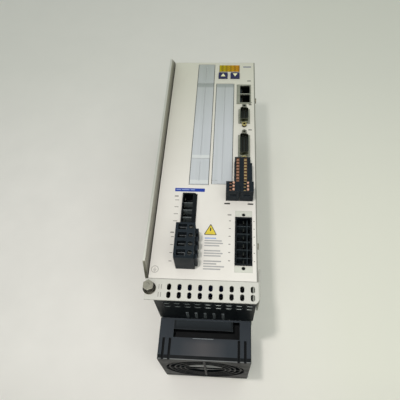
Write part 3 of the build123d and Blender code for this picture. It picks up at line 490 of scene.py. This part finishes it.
def make_materials():
    """Finish of every material slot, by its name in the record."""
    pale_edge = linear(150, 156, 160)
    return {
        "white_paint": finish(
            "white_paint", linear(232, 227, 220), rough=0.5, mottle=0.015, grain=0.0009, bump=0.05,
            edge=linear(214, 212, 204), edge_radius=0.0006, tint=cover_tint,
        ),
        # Pale edges on the black paint are painted highlights on the vent rims, as well as rubbed
        # paint.
        "black_paint": finish(
            "black_paint", linear(14, 19, 21), rough=0.45, mottle=0.2, grain=0.0008, bump=0.12,
            edge=pale_edge, edge_radius=0.0007, edge_amount=0.9, specular=0.1, tint=rib_tint,
        ),
        "side_aluminium": finish(
            "side_aluminium", linear(150, 148, 132), rough=0.42, metallic=0.85, mottle=0.1,
            grain=0.0006, bump=0.2, stretch=(1, 1, 0.03), edge=linear(222, 222, 212),
            edge_radius=0.0005, edge_amount=0.7, tint=brushed_tint,
        ),
        "mill_aluminium": finish(
            "mill_aluminium", linear(205, 207, 208), rough=0.4, metallic=0.9, mottle=0.06,
            stretch=(1, 1, 0.1),
        ),
        "zinc_sheet": finish(
            "zinc_sheet", linear(186, 190, 184), rough=0.42, metallic=0.8, mottle=0.09,
            mottle_size=0.012, grain=0.002, bump=0.06, edge=linear(220, 222, 216),
            edge_amount=0.3, tint=frame_tint,
        ),
        "cover_plate": finish(
            "cover_plate", linear(206, 208, 213), rough=0.4, metallic=0.05, mottle=0.03,
            stretch=(1, 1, 0.1), bump=0.05, edge=linear(232, 234, 230), edge_amount=0.5,
            tint=streaks_and_painted_light,
        ),
        "screw_steel": finish(
            "screw_steel", linear(122, 116, 98), rough=0.34, metallic=0.9, mottle=0.12,
            mottle_size=0.003, grain=0.0006, bump=0.15, edge=linear(236, 232, 220),
            tint=screw_tint,
        ),
        "board_green": finish(
            "board_green", linear(34, 84, 52), rough=0.35, mottle=0.15, mottle_size=0.006,
        ),
        "black_plastic": finish(
            "black_plastic", linear(30, 37, 43), rough=0.46, mottle=0.12, mottle_size=0.012,
            grain=0.0009, bump=0.1, edge=pale_edge, edge_radius=0.0004, edge_amount=0.25,
            specular=0.1, tint=module_tint,
        ),
        "black_gloss": finish(
            "black_gloss", linear(7, 12, 16), rough=0.3, mottle=0.15, mottle_size=0.01,
            grain=0.0012, bump=0.04, edge=pale_edge, edge_radius=0.0004, edge_amount=0.3,
            specular=0.2,
        ),
        "capacitor_sleeve": finish(
            "capacitor_sleeve", linear(34, 46, 92), rough=0.25, mottle=0.06,
        ),
        "amber_window": finish(
            "amber_window", linear(150, 138, 12), rough=0.4, mottle=0.03, bump=0.02,
            specular=0.15, tint=window_tint,
        ),
        "navy_key": finish(
            "navy_key", linear(22, 24, 76), rough=0.45, mottle=0.08,
            edge=linear(120, 124, 180), edge_amount=0.4,
        ),
        "plated_shell": finish(
            "plated_shell", linear(176, 176, 160), rough=0.34, metallic=0.9, mottle=0.1,
            mottle_size=0.004, edge=linear(228, 228, 216), edge_radius=0.0003,
            edge_amount=0.3, tint=recess_tint,
        ),
        "insulator_green": finish(
            "insulator_green", linear(30, 38, 32), rough=0.5, mottle=0.12, mottle_size=0.004,
        ),
        "brass_post": finish(
            "brass_post", linear(206, 190, 128), rough=0.26, metallic=0.95, mottle=0.12,
            mottle_size=0.002, edge=linear(240, 230, 190), edge_radius=0.0003, tint=post_tint,
        ),
        "copper_contact": finish(
            "copper_contact", linear(190, 130, 100), rough=0.36, metallic=0.45, mottle=0.15,
            mottle_size=0.002, tint=contact_tint,
        ),
        "orange_key": finish(
            "orange_key", linear(214, 164, 138), rough=0.35, mottle=0.08, mottle_size=0.002,
            edge=linear(92, 58, 46), edge_amount=0.9,
        ),
        "grip_grey": finish(
            "grip_grey", linear(38, 44, 48), rough=0.42, mottle=0.08, grain=0.0009, bump=0.1,
            specular=0.1, tint=grip_tint, edge=pale_edge, edge_radius=0.0006, edge_amount=0.4,
        ),
    }


# Small pieces


def make_object(name, mesh, material, body):
    """Object from a bmesh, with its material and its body."""
    data = bpy.data.meshes.new(name)
    mesh.to_mesh(data)
    mesh.free()
    data.materials.append(material)
    piece = bpy.data.objects.new(name, data)
    scene.collection.objects.link(piece)
    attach(piece, body)
    return piece


def polygon_prisms(name, outlines, near, far, material, body):
    """One object of thin prisms that face the front, from outlines in X and Z."""
    mesh = bmesh.new()
    for outline in outlines:
        front = [mesh.verts.new((x, near, z)) for x, z in outline]
        back = [mesh.verts.new((x, far, z)) for x, z in outline]
        mesh.faces.new(front)
        mesh.faces.new(list(reversed(back)))
        for i in range(len(outline)):
            j = (i + 1) % len(outline)
            mesh.faces.new((front[j], front[i], back[i], back[j]))
    bmesh.ops.recalc_face_normals(mesh, faces=mesh.faces)
    return make_object(name, mesh, material, body)


def on_front(x, z):
    """Place on the front from millimetres right of its left edge and above the chassis's foot."""
    return (LEFT + x * MM, z * MM)


def rounded(x, z, radius, steps=4):
    """Outline of a rectangle with round corners, from spans in millimetres on the front."""
    (x0, x1), (z0, z1) = x, z
    corners = ((x1 - radius, z1 - radius, 0), (x0 + radius, z1 - radius, 1))
    corners += ((x0 + radius, z0 + radius, 2), (x1 - radius, z0 + radius, 3))
    points = []
    for cx, cz, quarter in corners:
        for i in range(steps + 1):
            angle = (quarter + i / steps) * pi / 2
            points.append(on_front(cx + radius * cos(angle), cz + radius * sin(angle)))
    return points


def ring_quads(x, z, radius, width, steps=28):
    """Outlines of the pieces of a printed ring, in millimetres on the front."""
    quads = []
    for i in range(steps):
        a, b = (2 * pi * (i + k) / steps for k in (0, 1))
        corners = ((radius, a), (radius, b), (radius - width, b), (radius - width, a))
        quads.append([on_front(x + r * cos(angle), z + r * sin(angle)) for r, angle in corners])
    return quads


def triangle(x, z, width, height, radius, up=True, steps=4):
    """Outline of a triangle with round corners, in millimetres on the front."""
    rise = height / 2 if up else -height / 2
    tips = [(x, z + rise), (x - width / 2, z - rise), (x + width / 2, z - rise)]
    points = []
    for i, tip in enumerate(tips):
        here = Vector(tip)
        before = (Vector(tips[i - 1]) - here).normalized() * radius
        after = (Vector(tips[(i + 1) % 3]) - here).normalized() * radius
        for k in range(steps + 1):
            share = k / steps
            points.append(on_front(*(here + before * (1 - share) ** 2 + after * share ** 2)))
    return points


def bars(x, heights, thick, ends):
    """Short level strokes, one for each height, with their own lengths, in millimetres."""
    return [
        rounded((x, x + end), (z - thick / 2, z + thick / 2), thick * 0.4, 2)
        for z, end in zip(heights, ends)
    ]


def printed(name, outlines, material, body="drive", level=0.0):
    """Thin printed or stuck mark on the front, or on something that stands proud of it."""
    near, far = FRONT - level - INK_PROUD, FRONT - level + INK_SUNK
    return polygon_prisms(name, outlines, near, far, material, body)


def ink(name, colour, rough=0.5):
    """Printed colour with slightly uneven coverage."""
    return finish(
        name, colour, rough=rough, mottle=0.08, mottle_size=0.004, grain=0.0005, bump=0.03,
    )


def disc(name, centre, radius, z, thick, material, body, steps=48):
    """Level disc with a chamfered lower rim."""
    mesh = bmesh.new()
    rim = 0.3 * thick
    turns = [2 * pi * i / steps for i in range(steps)]
    rings = []
    for r, height in ((radius - rim, 0.0), (radius, rim), (radius, thick)):
        ring = [(centre[0] + r * cos(a), centre[1] + r * sin(a), z + height) for a in turns]
        rings.append([mesh.verts.new(p) for p in ring])
    mesh.faces.new(list(reversed(rings[0])))
    mesh.faces.new(rings[-1])
    for a, b in zip(rings, rings[1:]):
        for i in range(steps):
            j = (i + 1) % steps
            mesh.faces.new((a[i], a[j], b[j], b[i]))
    bmesh.ops.recalc_face_normals(mesh, faces=mesh.faces)
    return make_object(name, mesh, material, body)


def bars_3d(name, boxes, material, body, bevel=0.0001):
    """Small bevelled bars from their lowest and highest corners."""
    mesh = bmesh.new()
    for low, high in boxes:
        made = bmesh.ops.create_cube(mesh, size=1.0)["verts"]
        centre = [(a + b) / 2 for a, b in zip(low, high)]
        size = [b - a for a, b in zip(low, high)]
        bmesh.ops.scale(mesh, vec=size, verts=made)
        bmesh.ops.translate(mesh, vec=centre, verts=made)
    piece = make_object(name, mesh, material, body)
    rounding = piece.modifiers.new("bevel", "BEVEL")
    rounding.width = bevel
    rounding.segments = 2
    return piece


# Printed marks, in millimetres on the front


def print_front(inks):
    """Everything printed on the cover and on the strip below it."""
    printed("name_bar", [rounded((14.6, 42.3), (103.6, 107.3), 0.4)], inks["blue"])
    strokes = [
        rounded((x, x + width), (105.2, 106.0), 0.15, 2)
        for x, width in ((15.8, 4.2), (20.8, 7.2), (29.0, 4.0))
    ]
    printed("name_bar_strokes", strokes, inks["faint"], level=INK_PROUD)
    border, field = triangle(49.4, 64.9, 11.6, 11.2, 1.4), triangle(49.4, 64.5, 9.6, 9.2, 1.0)
    printed("caution_border", [border], inks["dark"])
    printed("caution_field", [field], inks["yellow"], level=INK_PROUD)
    dot = rounded((48.9, 49.9), (63.0, 66.4), 0.4)
    printed("caution_dot", [dot], inks["dark"], level=2 * INK_PROUD)

    line_step = 2.35
    lines = []
    for top, ends in (
        (56.2, (10, 15, 16, 13)),
        (44.4, (14, 16, 14.5)),
        (34.8, (15, 11, 17.5, 14.5)),
    ):
        heights = [top - line_step * i for i in range(len(ends))]
        lines += bars(44.6, heights, 1.15, ends)
    printed("notes", lines[1:], inks["note"])
    printed("notes_title", lines[:1], inks["faint"])

    earth = ring_quads(4.6, 26.0, 3.1, 0.4)
    earth += [rounded((4.45, 4.75), (26.0, 28.0), 0.1, 2)]
    for x, z, width in ((3.0, 25.9, 3.2), (3.5, 25.0, 2.2), (4.0, 24.1, 1.2)):
        earth += bars(x, (z,), 0.35, (width,))
    printed("earth_mark", earth, inks["grey"])
    printed("type_mark", bars(77.0, (272.9,), 1.5, (9.0,)), inks["blue_grey"])

    ports = []
    for x, z, width in (
        (81.6, 250.4, 4.0),
        (81.4, 217.6, 1.8),
        (84.2, 217.6, 2.0),
        (83.0, 214.4, 3.2),
        (82.6, 179.6, 3.6),
    ):
        ports += bars(x, (z,), 1.1, (width,))
    printed("port_marks", ports, inks["dark"])
    printed("terminal_marks", terminal_marks(), inks["grey"])
    plugs = bars(60.6, (91.6,), 1.5, (5.4,)) + bars(81.6, (91.6,), 1.5, (5.2,))
    printed("plug_marks", plugs, inks["dark"])

    strip = []
    for left in (9.4, 11.4):
        strip += [rounded((left, left + 0.6), (z - 2.0, z + 2.0), 0.2, 2) for z in (4.5, 11.2)]
    printed("strip_marks", strip, inks["grey"])
    line, left, right = 0.35, 70.6, 85.6
    outline = []
    for low, high in ((25.6, 31.2), (78.4, 84.2)):
        for z in (low, high - line):
            outline.append(rounded((left, right), (z, z + line), 0.1, 2))
        for x in (left, right - line):
            outline.append(rounded((x, x + line), (low, high), 0.1, 2))
    printed("header_outline", outline, inks["faded"])


def terminal_marks():
    """Strokes beside the poles of the headers, with a longer one above each column."""
    columns = (
        # left end, first height, step, count, thickness, length
        (65.2, 35.7, PITCH_MM, 6, 0.9, 1.8),
        (63.8, 79.9, 0.0, 1, 1.3, 3.6),
        (86.6, 35.7, PITCH_MM, 6, 0.8, 1.2),
        (14.8, 98.4, 0.0, 1, 1.4, 3.8),
        (15.6, 94.2, -7.3, 4, 0.7, 3.8),
        (14.2, 60.8, 0.0, 1, 1.3, 3.4),
        (15.2, 56.6, -PITCH_MM, 4, 0.7, 2.6),
    )
    marks = []
    for x, z, step, count, thick, length in columns:
        marks += bars(x, [z + step * i for i in range(count)], thick, [length] * count)
    return marks


def key_symbols(pale):
    """Pale arrow on each key."""
    for node, body, up in (("button_up", "key_up", True), ("button_down", "key_down", False)):
        low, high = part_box(node)
        x = ((low.x + high.x) / 2 - LEFT) / MM
        z = (low.z + high.z) / 2 / MM
        arrow = triangle(x, z + 0.2, 5.2, 4.8, 0.4, up)
        printed(f"{node}_arrow", [arrow], pale, body, FRONT - low.y)


def digit_segments(dark):
    """Unlit seven-segment digits on the window."""
    low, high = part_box("display_window")
    count, border, gap, radius = 5, 0.8, 0.4, 0.15
    step = (high.x - low.x - 2 * border * MM) / count / MM
    width, height, thick = step * 0.52, 6.4, 0.42
    middle = (low.z + high.z) / 2 / MM
    outlines = []
    for i in range(count):
        x = (low.x - LEFT) / MM + border + (i + 0.5) * step
        across = (x - width / 2 + gap, x + width / 2 - gap)
        for z in (middle - height / 2, middle, middle + height / 2):
            outlines.append(rounded(across, (z - thick / 2, z + thick / 2), radius, 2))
        for side in (x - width / 2, x + width / 2):
            for z in (middle - height / 4, middle + height / 4):
                upright = (z - height / 4 + gap, z + height / 4 - gap)
                outlines.append(rounded((side - thick / 2, side + thick / 2), upright, radius, 2))
    printed("display_segments", outlines, dark, level=FRONT - low.y)


# Fittings


def header_ribs(left, right, middle, poles):
    """Shallow ribs between the poles of a power header."""
    heights = [middle + (i - poles / 2) * PITCH for i in range(1, poles)]
    return [header_bar(left, right, z - RIB_HALF, z + RIB_HALF) for z in heights]


def header_bar(left, right, foot, top):
    """Lowest and highest corner of a bar as deep as the wells of the power headers."""
    return ((left, FRONT + 2.2 * MM, foot), (right, FRONT + 9.9 * MM, top))


def connector_details(materials):
    """Ribs in the power headers, wires in the network sockets, clamps in the supply plug."""
    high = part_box("motor_header")[1]
    left, right = high.x - 13.2 * MM, high.x - 1.2 * MM
    middle = (31.9 + 3 * PITCH_MM) * MM
    ribs = header_ribs(left, right, middle, 6)
    upright = left + 0.74 * (right - left)
    ribs.append(header_bar(upright, upright + 2 * RIB_HALF, middle - 21.4 * MM, middle + 21.4 * MM))
    plain = finish(
        "header_rib", linear(44, 52, 56), rough=0.35, mottle=0.2, mottle_size=0.004, specular=0.3,
    )
    bars_3d("motor_header_ribs", ribs, plain, "drive")

    low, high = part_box("mains_header")
    right = high.x - 3.6 * MM
    ribs = header_ribs(right - 8.6 * MM, right, (low.z + high.z) / 2, 4)
    # The mains header's ribs are a pale grey.
    pale_rib = finish(
        "header_rib_pale", linear(104, 112, 112), rough=0.35, mottle=0.3, mottle_size=0.004,
    )
    bars_3d("mains_header_ribs", ribs, pale_rib, "drive")

    low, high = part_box("network_shield")
    port, half_wall, wire_pitch, wire_half = 12.0 * MM, 0.6 * MM, 1.02 * MM, 0.18 * MM
    left, right = low.x + 5.4 * MM, low.x + 6.0 * MM
    middle = (low.z + high.z) / 2
    wires = []
    for foot in (middle - half_wall - port, middle + half_wall):
        for i in range(8):
            z = foot + port * 0.5 + (i - 3.5) * wire_pitch
            near, far = FRONT + 4 * MM, FRONT + 12.9 * MM
            wires.append(((left, near, z - wire_half), (right, far, z + wire_half)))
    bars_3d("network_wires", wires, materials["brass_post"], "drive", 0.00005)

    low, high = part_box("supply_plug")
    left, near = low.x + 2.6 * MM, low.y + 4.6 * MM
    right, far = left + 6.2 * MM, near + 2.6 * MM
    inner, outer = 1.5 * MM, 2.2 * MM
    middle = (low.z + high.z) / 2
    clamps = []
    for i in range(4):
        z = middle + (i - 1.5) * PITCH
        clamps.append(((left, near, z - outer), (right, far, z - inner)))
        clamps.append(((left, near, z + inner), (right, far, z + outer)))
        clamps.append(((left + 5.5 * MM, near, z - inner), (right, far, z + inner)))
    dull = finish(
        "dull_clamp", linear(84, 88, 90), rough=0.45, metallic=0.6, mottle=0.12, mottle_size=0.002,
    )
    bars_3d("supply_plug_clamps", clamps, dull, "supply_connector")


def fan_details():
    """Sticker on the hub and a raised bead under the finger recess, whose pale colour is a painted
    highlight.
    """
    low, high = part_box("fan_impeller")
    centre = ((low.x + high.x) / 2, (low.y + high.y) / 2)
    silver = finish(
        "hub_sticker", linear(150, 154, 154), rough=0.4, metallic=0.3, mottle=0.06,
        mottle_size=0.01,
    )
    foot = low.z - 0.12 * MM
    disc("hub_sticker", centre, 15.6 * MM, foot, 0.2 * MM, silver, "fan_rotor")
    low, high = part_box("fan_housing")
    x, z = (low.x + high.x) / 2 - 1.5 * MM, -17.4 * MM
    near, far = low.y - 0.3 * MM, low.y + 0.5 * MM
    bead = [((x - 9 * MM, near, z - 0.4 * MM), (x + 9 * MM, far, z + 0.1 * MM))]
    # Painted highlight: the bead stands for light caught on the recess's lower lip.
    pale = finish("bead_highlight", linear(128, 134, 138), rough=0.4, mottle=0.1, mottle_size=0.003)
    bars_3d("recess_bead", bead, pale, "fan_module", 0.00015)


def floor_vent_glints():
    """Pale crescents at the rear edge of each vent in the floor, painted highlights that are dimmer
    on the left.
    """
    dim, bright = linear(116, 124, 122), linear(206, 214, 210)
    # Painted highlights: dim on the first four columns, bright on the rest.
    for share, colour, columns in (("dim", dim, range(4)), ("bright", bright, range(4, 9))):
        rims = []
        for row in (6.4, 14.3):
            for i in columns:
                x = LEFT + (16.0 + i * 8.46) * MM
                y = FRONT + (row + 1.6) * MM
                low = (x - 1.9 * MM, y - 0.1 * MM, -0.12 * MM)
                rims.append((low, (x + 1.9 * MM, y + 0.6 * MM, 0.05 * MM)))
        glint_finish = finish(f"rim_{share}", colour, rough=0.4, mottle=0.15, mottle_size=0.004)
        bars_3d(f"floor_vent_glints_{share}", rims, glint_finish, "drive", 0.00005)


# Stage


def stage_sheet(name, corners, material):
    """Large flat sheet that isn't part of the drive."""
    mesh = bmesh.new()
    mesh.faces.new([mesh.verts.new(c) for c in corners])
    data = bpy.data.meshes.new(name)
    mesh.to_mesh(data)
    mesh.free()
    data.materials.append(material)
    sheet = bpy.data.objects.new(name, data)
    scene.collection.objects.link(sheet)


def wall_material():
    """Wall paint that is clear from behind, to shadow rays and to rays that start very near."""
    wall = finish(
        "wall", linear(249, 244, 239), rough=0.6, mottle=0.02, mottle_size=0.05, grain=0.003,
        bump=0.03, tint=wall_tint,
    )
    tree = wall.node_tree
    add, link = tree.nodes.new, tree.links.new

    def either(a, b):
        made = add("ShaderNodeMath")
        made.operation = "MAXIMUM"
        link(a, made.inputs[0])
        link(b, made.inputs[1])
        return made.outputs[0]

    path = add("ShaderNodeLightPath")
    close = add("ShaderNodeMath")
    close.operation = "LESS_THAN"
    close.inputs[1].default_value = WALL_CLEAR_RANGE
    link(path.outputs["Ray Length"], close.inputs[0])
    behind = add("ShaderNodeNewGeometry").outputs["Backfacing"]
    clear = either(behind, either(path.outputs["Is Shadow Ray"], close.outputs[0]))
    blend = add("ShaderNodeMixShader")
    link(clear, blend.inputs["Fac"])
    link(tree.nodes["Principled BSDF"].outputs[0], blend.inputs[1])
    link(add("ShaderNodeBsdfTransparent").outputs[0], blend.inputs[2])
    output = [n for n in tree.nodes if n.type == "OUTPUT_MATERIAL"][0]
    link(blend.outputs[0], output.inputs["Surface"])
    return wall


def build_stage():
    """Pale wall behind the drive, and a pale floor far below."""
    ends = ((-REACH, GROUND), (REACH, GROUND), (REACH, REACH), (-REACH, REACH))
    stage_sheet("wall", [(x, WALL_BACK, z) for x, z in ends], wall_material())
    floor = finish(
        "floor", linear(222, 219, 214), rough=0.6, mottle=0.012, mottle_size=0.06, grain=0.003,
        bump=0.03,
    )
    ends = ((-REACH, -REACH), (REACH, -REACH), (REACH, REACH), (-REACH, REACH))
    stage_sheet("floor", [(x, y, GROUND) for x, y in ends], floor)


place_camera()
light_studio()
materials = make_materials()
slot_of = {row["node"]: row["material_slot"] for row in frame["record"]["subparts"]}
for name, node in nodes.items():
    for material_slot in node.material_slots:
        material_slot.material = materials[slot_of[name]]
print_front({
    "grey": ink("ink_grey", linear(150, 146, 140)),
    "dark": ink("ink_dark", linear(52, 50, 46)),
    "blue": ink("ink_blue", linear(10, 54, 156), rough=0.4),
    "faint": ink("ink_faint", linear(150, 168, 214)),
    "yellow": ink("ink_yellow", linear(222, 198, 60)),
    "faded": ink("ink_faded", linear(196, 196, 186)),
    "blue_grey": ink("ink_blue_grey", linear(96, 102, 128)),
    "note": ink("ink_note", linear(170, 168, 168)),
})
key_symbols(ink("ink_arrow", linear(238, 236, 190)))
digit_segments(ink("ink_segment", linear(112, 92, 10)))
connector_details(materials)
fan_details()
floor_vent_glints()
build_stage()
